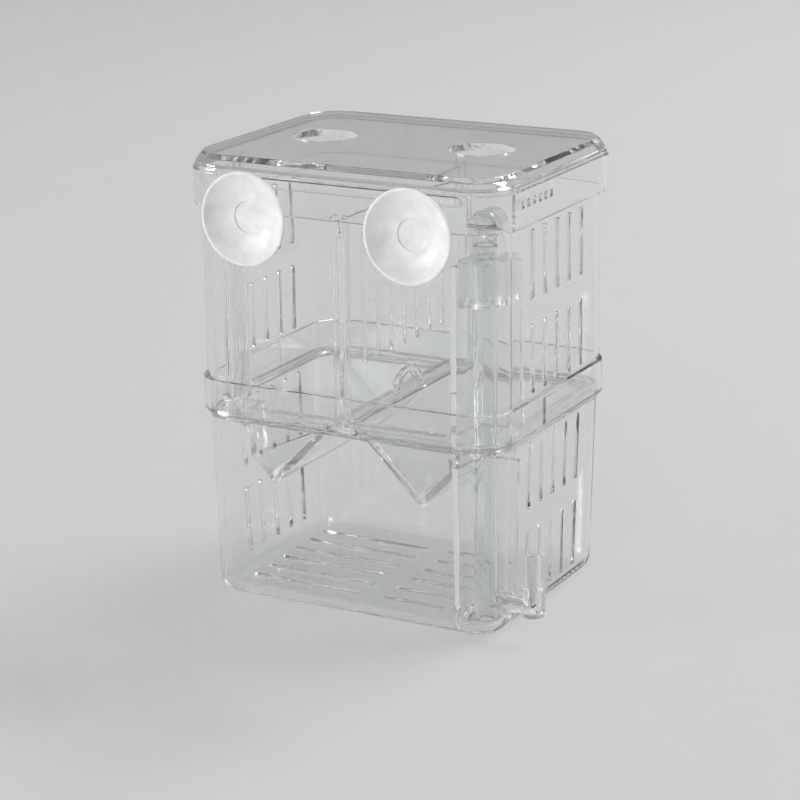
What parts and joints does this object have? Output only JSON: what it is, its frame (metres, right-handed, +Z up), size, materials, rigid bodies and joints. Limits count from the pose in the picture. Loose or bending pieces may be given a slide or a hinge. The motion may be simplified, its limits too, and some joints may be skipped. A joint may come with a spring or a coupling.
{
  "type": "fish breeding box",
  "caption": "Two-storey clear plastic breeding box that hangs in an aquarium, with a fry tray, divider, air-driven riser, lift-off lid and suction cups.",
  "frame": {"origin": "centre of the underside of the lower box", "axes": "+Z up, -Y the front with the suction cups, +X the side with the air inlet"},
  "size_m": [0.1085, 0.0851, 0.13],
  "materials": {
    "clear_plastic": "clear moulded polystyrene, polished",
    "clear_tube": "clear moulded tube and fittings",
    "cup_rubber": "soft translucent milky rubber"
  },
  "bodies": {
    "root": {"lower_box": "clear_plastic", "air_inlet": "clear_tube"},
    "upper_storey": {"upper_box": "clear_plastic", "riser_cap": "clear_tube", "riser_tube": "clear_tube"},
    "tray": {"fry_tray": "clear_plastic"},
    "divider_plate": {"divider": "clear_plastic"},
    "cover": {"lid": "clear_plastic"},
    "elbow": {"outlet_elbow": "clear_tube"},
    "left_cup": {"left_suction_cup": "cup_rubber"},
    "right_cup": {"right_suction_cup": "cup_rubber"}
  },
  "joints": [
    {"name": "upper_box_lift", "type": "slide", "parent": "root", "child": "upper_storey", "axis": [0, 0, 1], "range_m": [0, 0.07]},
    {"name": "tray_lift", "type": "slide", "parent": "upper_storey", "child": "tray", "axis": [0, 0, 1], "range_m": [0, 0.045]},
    {"name": "divider_lift", "type": "slide", "parent": "tray", "child": "divider_plate", "axis": [0, 0, 1], "range_m": [0, 0.058]},
    {"name": "lid_lift", "type": "slide", "parent": "divider_plate", "child": "cover", "axis": [0, 0, 1], "range_m": [0, 0.03]},
    {"name": "elbow_swing", "type": "hinge", "parent": "upper_storey", "child": "elbow", "pos_m": [0.0402, -0.0287, 0.1], "axis": [0, 0, 1], "range_deg": [0, 100]},
    {"name": "left_cup_spin", "type": "hinge", "parent": "upper_storey", "child": "left_cup", "pos_m": [-0.0253, -0.04, 0.1145], "axis": [0, -1, 0], "continuous": true},
    {"name": "right_cup_spin", "type": "hinge", "parent": "upper_storey", "child": "right_cup", "pos_m": [0.0253, -0.04, 0.1145], "axis": [0, -1, 0], "continuous": true}
  ]
}
